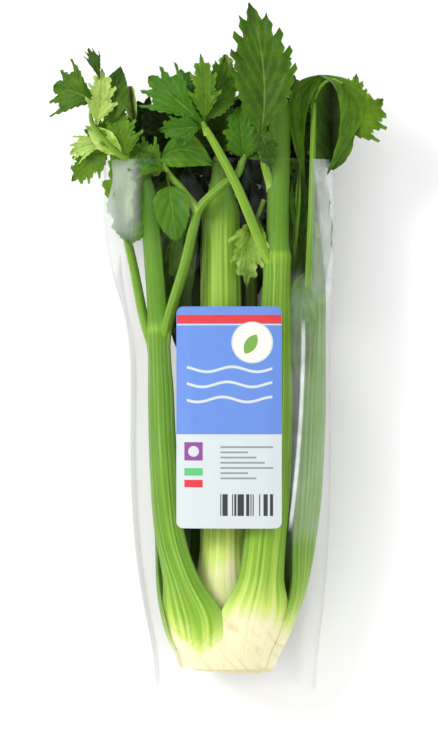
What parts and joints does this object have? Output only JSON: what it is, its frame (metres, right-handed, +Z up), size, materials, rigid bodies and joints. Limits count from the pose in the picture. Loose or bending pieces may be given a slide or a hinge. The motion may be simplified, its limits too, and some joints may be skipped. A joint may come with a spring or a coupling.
{
  "type": "head of celery",
  "caption": "Head of green celery lying in an open clear film sleeve with a plain coloured label; ribbed stalks, toothed leaves at the top and a pale cut butt.",
  "frame": {"origin": "on the sleeve's flat underside, below the middle of the stalks", "axes": "+Y from the cut butt towards the leaves, +Z up from the surface that it lies on, +X to the right seen from above"},
  "size_m": [0.1999, 0.4131, 0.0873],
  "materials": {
    "stalk": "smooth waxy green skin with fine ribs",
    "heart_stalk": "smooth pale yellow green skin",
    "leaf": "satin dark green leaf",
    "butt": "matt cream cut root end",
    "film": "clear glossy film",
    "label": "printed paper with no text"
  },
  "bodies": {
    "root": {"butt": "butt", "heart_stalk_1": "heart_stalk", "heart_stalk_2": "heart_stalk", "heart_stalk_3": "heart_stalk", "label": "label", "leaf_back_left": "leaf", "leaf_back_right": "leaf", "leaf_between_stalks": "leaf", "leaf_front_high": "leaf", "leaf_front_large": "leaf", "leaf_front_left_inner": "leaf", "leaf_front_left_top": "leaf", "leaf_front_middle": "leaf", "leaf_front_right_top": "leaf", "leaf_heart": "leaf", "leaf_inner_front": "leaf", "leaf_inner_left": "leaf", "leaf_inner_right": "leaf", "leaf_left_low": "leaf", "leaf_left_pressed": "leaf", "leaf_left_side": "leaf", "leaf_right_curled": "leaf", "leaf_right_pressed": "leaf", "leaf_right_side": "leaf", "sleeve": "film", "stalk_back_left": "stalk", "stalk_back_right": "stalk", "stalk_front_left": "stalk", "stalk_front_right": "stalk", "stalk_inner_front": "heart_stalk", "stalk_inner_left": "heart_stalk", "stalk_inner_right": "heart_stalk", "stalk_left": "stalk", "stalk_right": "stalk"}
  },
  "joints": []
}
